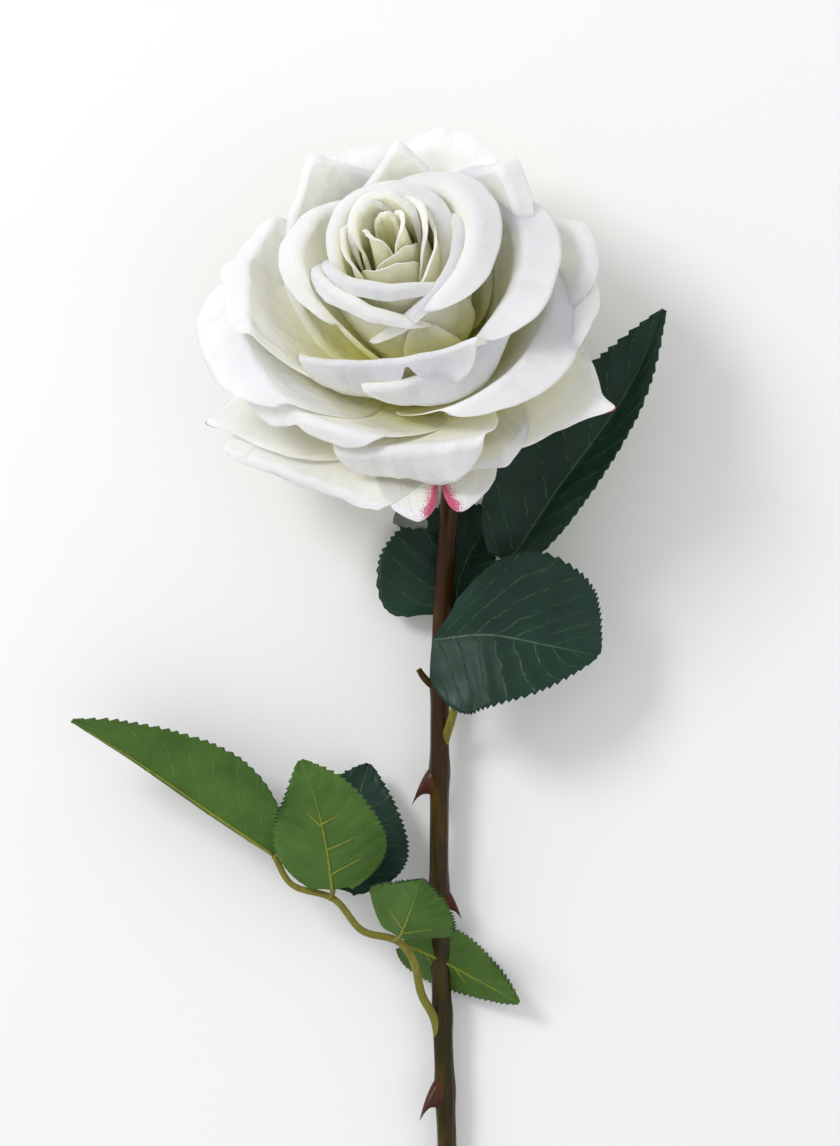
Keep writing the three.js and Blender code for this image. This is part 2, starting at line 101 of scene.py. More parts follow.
def sheet(name, surface, columns, rows, thickness, materials, marks=None):
    """A thin closed sheet: surface(u, v) for u in -1..1 across and v in 0..1 from foot to tip.

    marks: values kept on the sheet's vertices for its material, each a function of u, v, point.
    """
    nothing_selected()
    bpy.ops.mesh.primitive_grid_add(x_subdivisions=columns, y_subdivisions=rows, size=2,
                                    location=(0, 0, 0))
    piece = bpy.context.object
    piece.name = piece.data.name = name
    co = np.empty(len(piece.data.vertices) * 3)
    piece.data.vertices.foreach_get("co", co)
    u, v = np.clip(co[0::3], -1, 1), np.clip((co[1::3] + 1) / 2, 0, 1)
    points = surface(u, v)
    piece.data.vertices.foreach_set("co", place(points).ravel())
    for mark, value in (marks or {}).items():
        layer = piece.data.attributes.new(mark, "FLOAT", "POINT")
        layer.data.foreach_set("value", np.asarray(value(u, v, points), np.float32))
    for material in materials:
        piece.data.materials.append(material)
    wall = piece.modifiers.new("wall", "SOLIDIFY")
    wall.thickness = thickness * MM
    wall.offset = 0
    if len(materials) > 1:
        wall.material_offset = 1
        wall.material_offset_rim = 0
    apply_modifiers(piece)
    finish_piece(piece)
    return piece


def finish_piece(piece):
    piece.data.update()
    for face in piece.data.polygons:
        face.use_smooth = True


def curve_through(points, count):
    """Evenly spaced points on a smooth line through the given ones."""
    p = np.asarray(points, float)
    ends = np.vstack([2 * p[0] - p[1], p, 2 * p[-1] - p[-2]])
    fine = []
    for i in range(1, len(ends) - 2):
        a, b, c, d = ends[i - 1:i + 3]
        for t in np.linspace(0, 1, 40, endpoint=False):
            fine.append(0.5 * (2 * b + (c - a) * t + (2 * a - 5 * b + 4 * c - d) * t ** 2
                               + (3 * b - a - 3 * c + d) * t ** 3))
    fine.append(p[-1])
    fine = np.array(fine)
    run = np.concatenate([[0], np.cumsum(np.linalg.norm(np.diff(fine, axis=0), axis=1))])
    even = np.linspace(0, run[-1], count)
    return np.stack([np.interp(even, run, fine[:, k]) for k in range(3)], axis=1)


def rod_mesh(points, radius, sides, steps):
    """Vertices and faces of a closed round rod. radius(t, turn) gives the surface's distance."""
    line = curve_through(points, steps + 1)
    along = np.gradient(line, axis=0)
    along /= np.linalg.norm(along, axis=1)[:, None]
    side = np.cross(along[0], [0.0, 0.0, 1.0])
    if np.linalg.norm(side) < 1e-3:
        side = np.array([1.0, 0.0, 0.0])
    verts = []
    for i, (centre, way) in enumerate(zip(line, along)):
        side = side - way * side.dot(way)
        side /= np.linalg.norm(side)
        up = np.cross(side, way)
        turns = np.arange(sides) * TAU / sides
        reach = radius(i / steps, turns)
        verts.extend(centre + reach[k] * (math.cos(a) * side + math.sin(a) * up)
                     for k, a in enumerate(turns))
    faces = [(i * sides + k, i * sides + (k + 1) % sides, (i + 1) * sides + (k + 1) % sides,
              (i + 1) * sides + k) for i in range(steps) for k in range(sides)]
    faces = [f[::-1] for f in faces]
    first, last = len(verts), len(verts) + 1
    verts.extend([line[0], line[-1]])
    end = steps * sides
    for k in range(sides):
        faces.append((first, k, (k + 1) % sides))
        faces.append((last, end + (k + 1) % sides, end + k))
    return verts, faces


def build(name, parts, materials):
    """One piece from several closed shells, each (vertices, faces, material number)."""
    verts, faces, numbers = [], [], []
    for shell, shell_faces, number in parts:
        base = len(verts)
        verts.extend(shell)
        faces.extend(tuple(base + k for k in f) for f in shell_faces)
        numbers.extend([number] * len(shell_faces))
    mesh = bpy.data.meshes.new(name)
    mesh.from_pydata([tuple(v) for v in place(verts)], [], faces)
    piece = bpy.data.objects.new(name, mesh)
    bpy.context.scene.collection.objects.link(piece)
    for material in materials:
        mesh.materials.append(material)
    mesh.polygons.foreach_set("material_index", numbers)
    nothing_selected()
    piece.select_set(True)
    bpy.context.view_layer.objects.active = piece
    bpy.ops.object.mode_set(mode="EDIT")
    bpy.ops.mesh.select_all(action="SELECT")
    bpy.ops.mesh.normals_make_consistent(inside=False)
    bpy.ops.object.mode_set(mode="OBJECT")
    finish_piece(piece)
    return piece


def hand_over(piece, node):
    """Puts a finished piece under the root body and hides the CAD node it stands for, if any."""
    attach(piece, "root")
    if node:
        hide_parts(node)


# ------------------------------------------------------------------ materials
def new_material(name, colour, roughness):
    material = bpy.data.materials.new(name)
    material.use_nodes = True
    shader = material.node_tree.nodes["Principled BSDF"]
    shader.inputs["Base Color"].default_value = (*colour, 1)
    shader.inputs["Roughness"].default_value = roughness
    return material, material.node_tree, shader


def ramp(tree, factor, stops):
    """Colours along a factor from (position, colour) pairs."""
    made = tree.nodes.new("ShaderNodeValToRGB")
    elements = made.color_ramp.elements
    while len(elements) < len(stops):
        elements.new(0.5)
    for element, (position, colour) in zip(elements, stops):
        element.position = position
        element.color = (*colour, 1)
    tree.links.new(factor, made.inputs["Fac"])
    return made.outputs["Color"]


def math_node(tree, operation, a, b=None, c=None, clamp=False):
    made = tree.nodes.new("ShaderNodeMath")
    made.operation = operation
    made.use_clamp = clamp
    for socket, value in zip(made.inputs, (a, b, c)):
        if value is None:
            continue
        if isinstance(value, (int, float)):
            socket.default_value = value
        else:
            tree.links.new(value, socket)
    return made.outputs[0]


def mixed(tree, factor, a, b, blend="MIX"):
    made = tree.nodes.new("ShaderNodeMix")
    made.data_type = "RGBA"
    made.blend_type = blend
    for socket, value in ((made.inputs[0], factor), (made.inputs[6], a), (made.inputs[7], b)):
        if isinstance(value, (int, float)):
            socket.default_value = value
        elif isinstance(value, tuple):
            socket.default_value = (*value, 1)
        else:
            tree.links.new(value, socket)
    return made.outputs[2]


def bumped(tree, shader, height, strength, distance, below=None):
    """Relief from a height, laid over the relief below it. Distance is in metres."""
    made = tree.nodes.new("ShaderNodeBump")
    made.inputs["Strength"].default_value = strength
    made.inputs["Distance"].default_value = distance
    tree.links.new(height, made.inputs["Height"])
    if below is not None:
        tree.links.new(below, made.inputs["Normal"])
    tree.links.new(made.outputs["Normal"], shader.inputs["Normal"])
    return made.outputs["Normal"]


def noise(tree, vector, scale, detail=3.0, rough=0.5, stretch=None):
    if stretch is not None:
        mapping = tree.nodes.new("ShaderNodeMapping")
        mapping.inputs["Scale"].default_value = stretch
        tree.links.new(vector, mapping.inputs["Vector"])
        vector = mapping.outputs["Vector"]
    made = tree.nodes.new("ShaderNodeTexNoise")
    made.inputs["Scale"].default_value = scale
    made.inputs["Detail"].default_value = detail
    made.inputs["Roughness"].default_value = rough
    tree.links.new(vector, made.inputs["Vector"])
    return made.outputs["Fac"]


def petal_material():
    """White cloth petal: yellow-green at its foot and deep in the bloom's heart, partly its own tint and
    partly painted glow of light through the petals, white at its rim, with fine lengthwise fibres.
    """
    material, tree, shader = new_material("petal_white", (0.9, 0.9, 0.87), 0.62)
    where = tree.nodes.new("ShaderNodeTexCoord")
    drift = noise(tree, where.outputs["Object"], 55, 2)
    pale = tree.nodes.new("ShaderNodeAttribute")
    pale.attribute_name = "tint_and_painted_glow"
    reach = math_node(tree, "ADD", pale.outputs["Fac"], math_node(tree, "MULTIPLY_ADD", drift, 0.2, -0.1))
    # painted glow: the yellow-green deep in the bloom's heart stands in for light coming through the petals,
    # on top of the petals' own yellow-green feet
    colour = ramp(tree, reach, [
        (0.04, (0.90, 0.86, 0.12)), (0.24, (0.95, 0.93, 0.42)), (0.45, (0.955, 0.945, 0.68)),
        (0.62, (0.945, 0.94, 0.83)), (0.80, (0.93, 0.93, 0.915))])
    fibre = noise(tree, where.outputs["UV"], 1.0, 4, 0.6, (90, 5, 1))
    colour = mixed(tree, 0.05, colour, ramp(tree, fibre, [(0.3, (0.72, 0.72, 0.6)), (0.7, (1, 1, 1))]),
                   "MULTIPLY")
    blush = tree.nodes.new("ShaderNodeAttribute")
    blush.attribute_name = "blush"
    specks = noise(tree, where.outputs["Object"], 2600, 2, 0.8)
    stain = noise(tree, where.outputs["Object"], 300, 2, 0.6)
    level = math_node(tree, "ADD", math_node(tree, "MULTIPLY", specks, 0.85),
                      math_node(tree, "MULTIPLY", stain, 0.15))
    cut = math_node(tree, "SUBTRACT", math_node(tree, "ADD", blush.outputs["Fac"], level), 1.0)
    dots = math_node(tree, "MULTIPLY", cut, 7.0, clamp=True)
    colour = mixed(tree, dots, colour, (0.50, 0.03, 0.12))
    tree.links.new(colour, shader.inputs["Base Color"])
    shader.inputs["Subsurface Weight"].default_value = 0.5
    shader.inputs["Subsurface Radius"].default_value = (1.0, 0.97, 0.6)
    shader.inputs["Subsurface Scale"].default_value = 0.006
    shader.inputs["Sheen Weight"].default_value = 0.12
    shader.inputs["Sheen Roughness"].default_value = 0.5
    shader.inputs["Specular IOR Level"].default_value = 0.3
    cloth = noise(tree, where.outputs["Object"], 900, 2, 0.5)
    crumple = noise(tree, where.outputs["Object"], 70, 3, 0.5, (1, 1, 1.6))
    folds = noise(tree, where.outputs["UV"], 1.0, 2, 0.5, (9, 1.6, 1))
    below = bumped(tree, shader, crumple, 0.6, 0.003)
    below = bumped(tree, shader, folds, 0.5, 0.003, below)
    below = bumped(tree, shader, fibre, 0.14, 0.0004, below)
    bumped(tree, shader, cloth, 0.06, 0.0003, below)
    return material


def leaf_pattern(tree):
    """Veins of a leaflet on its own UV map: (distance from the midrib, vein lines, midrib line)."""
    where = tree.nodes.new("ShaderNodeTexCoord")
    parts = tree.nodes.new("ShaderNodeSeparateXYZ")
    tree.links.new(where.outputs["UV"], parts.inputs[0])
    off = math_node(tree, "ABSOLUTE", math_node(tree, "SUBTRACT", parts.outputs["X"], 0.5))
    off = math_node(tree, "MULTIPLY", off, 2.0)
    wander = math_node(tree, "MULTIPLY", noise(tree, where.outputs["Object"], 120, 2), 0.7)
    lines = math_node(tree, "SUBTRACT", parts.outputs["Y"], math_node(tree, "MULTIPLY", off, 0.22))
    lines = math_node(tree, "ADD", math_node(tree, "MULTIPLY", lines, 8.5), wander)
    near = math_node(tree, "ABSOLUTE", math_node(tree, "SUBTRACT", math_node(tree, "FRACT", lines), 0.5))
    vein = math_node(tree, "SUBTRACT", 1.0, math_node(tree, "MULTIPLY", near, 16.0), clamp=True)
    rib = math_node(tree, "SUBTRACT", 1.0, math_node(tree, "MULTIPLY", off, 50.0), clamp=True)
    return where, off, vein, rib


def leaf_material(name, dark, light, vein_colour, vein_show, roughness):
    material, tree, shader = new_material(name, dark, roughness)
    where, off, vein, rib = leaf_pattern(tree)
    cloud = noise(tree, where.outputs["Object"], 70, 3, 0.6)
    colour = mixed(tree, ramp(tree, cloud, [(0.3, (0, 0, 0)), (0.7, (1, 1, 1))]), dark, light)
    weave = noise(tree, where.outputs["Object"], 1400, 2, 0.7)
    colour = mixed(tree, 0.25, colour, ramp(tree, weave, [(0.3, (0.55, 0.6, 0.58)), (0.7, (1, 1, 1))]),
                   "MULTIPLY")
    broken = noise(tree, where.outputs["Object"], 420, 2, 0.7)
    show = math_node(tree, "MULTIPLY", vein, ramp(tree, broken, [(0.42, (0, 0, 0)), (0.6, (1, 1, 1))]))
    dashes = ramp(tree, broken, [(0.25, (0.2, 0.2, 0.2)), (0.5, (1, 1, 1))])
    lit_rib = math_node(tree, "MULTIPLY", rib, dashes)
    lines = math_node(tree, "MAXIMUM", math_node(tree, "MULTIPLY", show, 0.45), lit_rib)
    colour = mixed(tree, math_node(tree, "MULTIPLY", lines, vein_show), colour, vein_colour)
    tree.links.new(colour, shader.inputs["Base Color"])
    sheen = ramp(tree, cloud, [(0.3, (roughness + 0.08,) * 3), (0.7, (roughness - 0.08,) * 3)])
    tree.links.new(sheen, shader.inputs["Roughness"])
    shader.inputs["Specular IOR Level"].default_value = 0.2
    ridge = math_node(tree, "ADD", vein, math_node(tree, "MULTIPLY", rib, 1.5))
    below = bumped(tree, shader, ridge, 0.35, 0.0004)
    below = bumped(tree, shader, cloud, 0.25, 0.0012, below)
    bumped(tree, shader, weave, 0.18, 0.0002, below)
    return material


def bark_material(name, upper, lower, edge, roughness):
    """Moulded stem: long wrinkles, brown over olive, glossy in patches, with a lighter edge colour laid on in
    cloudy patches as painted highlight of a lit edge.
    """
    material, tree, shader = new_material(name, upper, roughness)
    where = tree.nodes.new("ShaderNodeTexCoord")
    parts = tree.nodes.new("ShaderNodeSeparateXYZ")
    tree.links.new(where.outputs["Object"], parts.inputs[0])
    height = math_node(tree, "MULTIPLY_ADD", parts.outputs["Y"], 5.0, 0.25, clamp=True)
    long_grain = noise(tree, where.outputs["Object"], 1.0, 4, 0.6, (900, 45, 900))
    cloud = noise(tree, where.outputs["Object"], 90, 3, 0.6, (2.5, 0.5, 2.5))
    colour = mixed(tree, height, lower, upper)
    # painted highlight: the lighter edge colour stands in for the lit edge of the stem, laid on in cloudy
    # patches
    colour = mixed(tree, ramp(tree, cloud, [(0.5, (0, 0, 0)), (0.75, (0.6, 0.6, 0.6))]), colour, edge)
    colour = mixed(tree, 0.4, colour, ramp(tree, long_grain, [(0.3, (0.35, 0.3, 0.25)), (0.62, (1, 1, 1))]),
                   "MULTIPLY")
    tree.links.new(colour, shader.inputs["Base Color"])
    gloss = ramp(tree, long_grain, [(0.3, (roughness + 0.2,) * 3), (0.7, (roughness - 0.1,) * 3)])
    tree.links.new(gloss, shader.inputs["Roughness"])
    shader.inputs["Specular IOR Level"].default_value = 0.14
    bumped(tree, shader, long_grain, 0.4, 0.0008)
    shader.inputs["Coat Weight"].default_value = 0.2
    shader.inputs["Coat Roughness"].default_value = 0.12
    shader.inputs["Coat IOR"].default_value = 1.35
    return material


def table_material():
    material, tree, shader = new_material("table_paper", (0.9, 0.9, 0.905), 0.8)
    where = tree.nodes.new("ShaderNodeTexCoord")
    cloud = noise(tree, where.outputs["Object"], 4, 2, 0.5)
    colour = ramp(tree, cloud, [(0.3, (0.895, 0.895, 0.90)), (0.7, (0.905, 0.905, 0.91))])
    tree.links.new(colour, shader.inputs["Base Color"])
    return material


PETAL_WHITE = petal_material()
LEAF_TOP = leaf_material("leaf_top", (0.007, 0.028, 0.017), (0.015, 0.046, 0.030), (0.20, 0.34, 0.20),
                         0.4, 0.42)
LEAF_UNDER = leaf_material("leaf_underside", (0.050, 0.112, 0.018), (0.080, 0.165, 0.030),
                           (0.20, 0.26, 0.035), 0.7, 0.6)
SEPAL_CLOTH = leaf_material("sepal_cloth", (0.11, 0.13, 0.10), (0.19, 0.22, 0.18), (0.28, 0.31, 0.25),
                            0.5, 0.7)
# the third colour of each bark material is a painted highlight, laid on in cloudy patches
RIB_OLIVE = bark_material("rib_olive", (0.20, 0.23, 0.025), (0.22, 0.26, 0.03), (0.28, 0.27, 0.05), 0.5)
STALK_OLIVE = bark_material("stalk_olive", (0.19, 0.15, 0.018), (0.20, 0.19, 0.03), (0.30, 0.28, 0.06), 0.45)
STEM_BARK = bark_material("stem_bark", (0.050, 0.013, 0.002), (0.026, 0.019, 0.002),
                          (0.120, 0.075, 0.006), 0.25)
THORN_BARK = bark_material("thorn_bark", (0.085, 0.020, 0.010), (0.060, 0.016, 0.008),
                           (0.12, 0.045, 0.02), 0.3)
CUT_PITH = bark_material("cut_pith", (0.42, 0.36, 0.20), (0.42, 0.36, 0.20), (0.50, 0.45, 0.28), 0.7)

# ------------------------------------------------------------------ petals
PETAL = dict(
    start=40, lean=80,        # lean of the petal at its foot and its rim, degrees up from flat
    wide=24, wrap=1.0,        # half-width, and curvature radius as a share of the distance out
    base=0.16,                # width at the foot, times the half-width
    band=4, roll=2, turn=150, # depth, radius and angle of the rolled rim
    lobes=(),                 # or several rolled lobes: (middle, half-width, depth) along u
    tent=0,                   # turns the roll outwards on each half, for a pointed rim
    side=0, side_roll=3,      # rolled side edges
    skew=0,                   # lifts the right side over the left, degrees
    tip=0, notch=0,
    drop=0.28, corner=2.4,    # how far the rim falls at its sides, and how late
    ruffle=0, sway=0.5)       # waves near the rim, and a slow unevenness everywhere


def rolled(depth, radius, turn):
    """How a rim that is rolled outwards lies: (move along the petal, move outwards)."""
    d = np.maximum(depth, 0)
    arc = np.minimum(d, radius * turn)
    along = radius * np.sin(arc / radius) + (d - arc) * np.cos(turn) - d
    out = radius * (1 - np.cos(arc / radius)) + (d - arc) * np.sin(turn)
    return along, out


def profile_of(p):
    """The petal's middle line, seen from its side: distance out, height, and run along it."""
    (r0, h0), (r1, h1) = p["foot"], p["rim"]
    size = math.hypot(r1 - r0, h1 - h0)
    t = np.linspace(0, 1, 60)
    a, b = 2 * t ** 3 - 3 * t ** 2 + 1, t ** 3 - 2 * t ** 2 + t
    c, e = 3 * t ** 2 - 2 * t ** 3, t ** 3 - t ** 2
    r = a * r0 + b * size * math.cos(rad(p["start"])) + c * r1 + e * size * math.cos(rad(p["lean"]))
    h = a * h0 + b * size * math.sin(rad(p["start"])) + c * h1 + e * size * math.sin(rad(p["lean"]))
    run = np.concatenate([[0], np.cumsum(np.hypot(np.diff(r), np.diff(h)))])
    return r, h, run


def spaced(row, roll_from, roll_depth):
    """Rows up a petal are closest where it rolls: the upright, the roll, and the flap beyond."""
    upright, flap = 0.45, 0.88
    roll_to = roll_from + np.minimum(roll_depth, 0.85 * (1 - roll_from))
    return np.where(row < upright, roll_from * row / upright, np.where(
        row < flap, roll_from + (roll_to - roll_from) * (row - upright) / (flap - upright),
        roll_to + (1 - roll_to) * (row - flap) / (1 - flap)))


def petal_surface(given, seed):
    p = {**PETAL, **given}
    r_line, h_line, run = profile_of(p)
    slope_r, slope_h = np.gradient(r_line, run), np.gradient(h_line, run)
    upright = run[-1]
    facing = FRONT * math.cos(rad(p["at"])) + SIDE * math.sin(rad(p["at"]))
    across = -FRONT * math.sin(rad(p["at"])) + SIDE * math.cos(rad(p["at"]))
    phase = np.random.RandomState(seed).uniform(0, TAU, 8)
    sway = p["sway"]

    def surface(u, row):
        edge = 0.5 * sway * (np.sin(9 * u + phase[0]) + 0.6 * np.sin(17 * u + phase[1]))
        uneven = 1 + 0.2 * sway * np.sin(2.3 * u + phase[2]) + 0.1 * sway * np.sin(6.1 * u + phase[3])
        band = 0.3 + 0 * u
        for middle, half_lobe, depth in p["lobes"] or [(0, 1.08, p["band"])]:
            lobe = np.clip(1 - ((u - middle) / half_lobe) ** 2, 0, 1) ** 0.6
            band = np.maximum(band, depth * uneven * lobe)
        length = upright * (1 - p["drop"] * np.abs(u) ** p["corner"]) + band + edge \
            + p["tip"] * np.exp(-(u / 0.16) ** 2) - p["notch"] * np.exp(-np.abs(u) / 0.10)
        turn = rad(p["turn"]) * (1 + 0.10 * sway * np.sin(3.1 * u + phase[4]))
        v = spaced(row, 1 - band / length, p["roll"] * turn / length)
        grow = np.sin(np.clip(v / 0.6, 0, 1) * math.pi / 2) ** 1.1
        late = np.clip((v - 0.6) / 0.4, 0, 1)
        half = p["wide"] * (p["base"] + (1 - p["base"]) * grow) * (1 - 0.14 * late ** 2)
        along, out = rolled(band - (1 - v) * length, p["roll"], turn)
        bend = rad(p["tent"]) * np.tanh(u * half / (0.25 * p["wide"]))
        x = u * half + along * np.sin(bend)
        y = v * length + along * np.cos(bend)
        if p["side"]:
            for hand in (-1, 1):
                depth = p["side"] * np.clip(v * 1.6 - 0.4, 0, 1) - (1 - hand * u) * half
                inward, lift = rolled(depth, p["side_roll"], rad(130))
                x = x + hand * inward
                out = out + lift
        y = y + u * half * math.tan(rad(p["skew"])) * np.clip(v * 1.5, 0, 1)
        near_rim = np.clip(v, 0, 1) ** 3
        out = out + p["ruffle"] * near_rim * 0.6 * (
            np.sin(3.1 * u + phase[5]) + 0.6 * np.sin(6.3 * u + phase[6]))
        out = out + sway * 0.9 * np.clip(v, 0, 1) ** 2 * np.sin(4.2 * u + 5.0 * v + phase[7]) \
            + sway * 0.3 * near_rim * np.sin(13 * u + 9 * v + phase[0]) \
            + sway * 0.22 * near_rim * np.sin(29 * u - 7 * v + phase[3]) * np.sin(5 * u + phase[6])
        reach = np.clip(y, 0, upright)
        beyond = y - reach
        cos, sin = np.interp(reach, run, slope_r), np.interp(reach, run, slope_h)
        size = np.hypot(cos, sin)
        cos, sin = cos / size, sin / size
        r = np.interp(reach, run, r_line) + cos * beyond
        h = np.interp(reach, run, h_line) + sin * beyond
        bend_radius = np.maximum(r, 3.0) * p["wrap"]
        angle = x / bend_radius
        swing = bend_radius + out * sin
        outwards = r - bend_radius + swing * np.cos(angle)
        return HIP + outwards[:, None] * facing + (swing * np.sin(angle))[:, None] * across \
            + (h - out * cos)[:, None] * AXIS
    return surface


# Inner petals first. at: direction round the axis, 0 at the front. rim: (distance, height).
PETALS = [
    ("heart_1", dict(at=150, rim=(3, 66), wide=5.5, band=2, roll=1, lean=92, start=70, base=0.35)),
    ("heart_2", dict(at=-60, rim=(4.4, 66), wide=8, band=2, roll=1, lean=92, start=70, base=0.35)),
    ("heart_3", dict(at=80, rim=(5.6, 67), wide=10.5, band=2, roll=1.2, lean=92, start=68)),
    ("heart_4", dict(at=-150, rim=(6.8, 67), wide=13, band=3, roll=1.4, lean=92, start=66)),
    ("heart_5", dict(at=10, rim=(7.8, 60), wide=14, band=1, roll=1.2, lean=94, start=64, skew=12)),
    ("heart_ring", dict(at=175, rim=(8.8, 66), wide=20, band=4, roll=1.6, lean=90, start=62)),
    ("heart_6", dict(at=-24, rim=(10, 58), wide=17, band=1, roll=1.2, lean=94, start=60, skew=16)),
    ("bud_left", dict(at=-104, rim=(11.6, 62), wide=16, band=2, roll=1.2, lean=90, start=58)),
    ("bud_right", dict(at=110, rim=(11.2, 63), wide=20, band=3, roll=1.5, lean=90, start=56)),
    ("bud_back", dict(at=170, rim=(14.5, 60.5), wide=32, band=9, roll=2.4, turn=115, lean=84,
                      start=54)),
    ("bud_face", dict(at=66, rim=(13.8, 58), wide=26, band=2, roll=1.2, lean=92, start=52,
                      skew=18)),
    ("band_upper", dict(at=-44, rim=(14.5, 57.5), wide=30, band=8, roll=1.6, turn=165, lean=90,
                        start=50, wrap=1.5, skew=6)),
    ("band_lower", dict(at=-58, rim=(19, 54.5), wide=28, band=7, roll=1.6, turn=160, lean=86,
                        start=46, wrap=1.3)),
    ("band_right", dict(at=40, rim=(19, 55), wide=30, band=8, roll=1.8, turn=150, lean=86,
                        start=46, skew=18)),
    ("cup_left", dict(at=-130, rim=(25, 54), wide=28, band=10, roll=2.6, turn=105, lean=76,
                      start=42)),
    ("fold_front", dict(at=-24, rim=(28, 40), wide=31, lobes=((-0.38, 0.66, 17), (0.66, 0.4, 12)),
                        roll=1.1, turn=152, lean=74, start=40, skew=14, wrap=2.6, drop=0.04)),
    ("cup_right", dict(at=98, rim=(22.5, 57), wide=38, band=14, roll=3.6, turn=112, lean=80,
                       start=40, skew=-4, drop=0.2)),
    ("fold_right", dict(at=13, rim=(32, 38), wide=30, band=13, roll=1.6, turn=150, lean=70,
                        start=36, skew=14, wrap=1.15, drop=0.06)),
    ("wing_left", dict(at=-114, rim=(42, 45), wide=25, band=10, roll=2, turn=85, lean=62, start=38,
                       tip=3, drop=0.04, wrap=2)),
    ("peak_back", dict(at=161, rim=(33, 54), wide=29, band=4, roll=2.5, turn=70, tent=25, lean=76,
                       start=38, tip=4, side=6, drop=0.36, corner=1.2)),
    ("peak_left", dict(at=-163, rim=(40, 53), wide=34, band=4, roll=2.5, turn=60, tent=25, lean=72,
                       start=36, tip=4, side=6, drop=0.36, corner=1.2)),
    ("ridge_right", dict(at=80, rim=(34, 45), wide=34, band=17, roll=3.6, turn=95, lean=76,
                         start=36, drop=0.14)),
    ("roll_left", dict(at=-93, rim=(46, 36), wide=28, band=16, roll=2.4, turn=82, lean=52,
                       start=34, skew=-8, drop=0.06, corner=4, wrap=2)),
    ("peak_right", dict(at=114, rim=(38, 50), wide=32, band=9, roll=2.6, turn=90, lean=72,
                        start=32, tip=4, drop=0.3, corner=1.5)),
    ("back_right", dict(at=143, rim=(43, 47), wide=30, band=9, roll=6, turn=100, lean=68,
                        start=32)),
    ("back_left", dict(at=-178, rim=(40, 46), wide=32, band=8, roll=6, turn=90, lean=66,
                       start=32)),
    ("wave_left", dict(at=-63, rim=(43, 28), wide=32, lobes=((-0.45, 0.66, 14), (0.5, 0.5, 8)),
                       roll=2.2, turn=112, lean=46, start=30, ruffle=1.5, wrap=2, skew=-8,
                       drop=0.05)),
    ("roll_front", dict(at=-16, rim=(44, 21), wide=25, band=17, roll=2.2, turn=125, lean=42,
                        start=26, skew=14, wrap=2.6, drop=0.04)),
    ("broad_right", dict(at=47, rim=(41, 30), wide=36, band=13, roll=2.6, turn=85, lean=54,
                         start=28, drop=0.12)),
    ("round_right", dict(at=90, rim=(50, 32), wide=25, band=8, roll=4, turn=90, lean=54,
                         start=26)),
    ("wave_right", dict(at=68, rim=(48, 27), wide=32, band=8, roll=5, turn=80, lean=46, start=22,
                        ruffle=1.2)),
    ("guard_point", dict(at=13, rim=(47, 10), wide=20, band=5, roll=4, turn=70, lean=24, start=16,
                         tip=3, corner=1.6)),
    ("guard_notched", dict(at=-9, rim=(54, 4), wide=19, band=4, roll=5, turn=60, lean=6, start=10,
                           notch=16, drop=0.14)),
    ("guard_left", dict(at=-57, rim=(50, 5), wide=30, band=5, roll=2, turn=120, lean=14, start=12,
                        skew=-12, wrap=3, drop=-0.1, corner=4)),
    ("guard_tip_left", dict(at=-88, rim=(57, 10), wide=26, band=3, roll=6, turn=50, lean=20,
                            start=12, tip=6, drop=0.3, corner=1.3, wrap=1.6)),
    ("guard_tip_right", dict(at=46, rim=(56, 10), wide=26, band=3, roll=6, turn=50, lean=18,
                             start=12, tip=6, drop=0.32, corner=1.3, wrap=1.6)),
    ("under_left", dict(at=-120, rim=(52, 2), wide=23, band=4, roll=6, turn=50, lean=10, start=0)),
    ("under_right", dict(at=122, rim=(52, 2), wide=23, band=4, roll=6, turn=50, lean=10, start=0)),
]
PETAL_THICKNESS = 0.34
# Where the innermost petal's foot is, (distance, height), and the step from each to the next.
FOOT_TOP, FOOT_STEP = (2.2, 13), (0.3, -0.32)
SMALL_PETAL = 21          # half-width below which a coarser sheet is enough


def blush_of(name):
    """Where pink is sprayed on a petal, 0 to 1."""
    if name == "guard_notched":
        return lambda u, v, points: 0.92 * np.exp(-(u / 0.48) ** 2) * np.clip((v - 0.05) / 0.5, 0, 1)
    if name in ("guard_tip_left", "guard_tip_right"):
        return lambda u, v, points: np.exp(-(u / 0.16) ** 2) * np.clip((v - 0.84) / 0.14, 0, 1)
    return lambda u, v, points: 0 * u


def tint_and_painted_glow(u, v, points):
    """0 deep in the bloom's heart, 1 at the rims and on the outer petals; the low end is the petals' own
    yellow-green foot together with a painted glow of light through the petals deep in the heart.
    """
    away = points - HIP
    out = np.linalg.norm(away - np.outer(away @ AXIS, AXIS), axis=1)
    high = np.clip(away @ AXIS / 60, 0, 1)
    return np.clip(0.62 * v + out / 90 + 0.26 * high - 0.18, 0, 1)


def make_petals():
    for i, (name, given) in enumerate(PETALS):
        given = {"foot": (FOOT_TOP[0] + FOOT_STEP[0] * i, FOOT_TOP[1] + FOOT_STEP[1] * i), **given}
        small = given["wide"] < SMALL_PETAL
        marks = {"blush": blush_of(name), "tint_and_painted_glow": tint_and_painted_glow}
        piece = sheet(f"petal_{name}_sheet", petal_surface(given, i), 30 if small else 48,
                      44 if small else 64, PETAL_THICKNESS, [PETAL_WHITE], marks)
        hand_over(piece, f"petal_{name}")


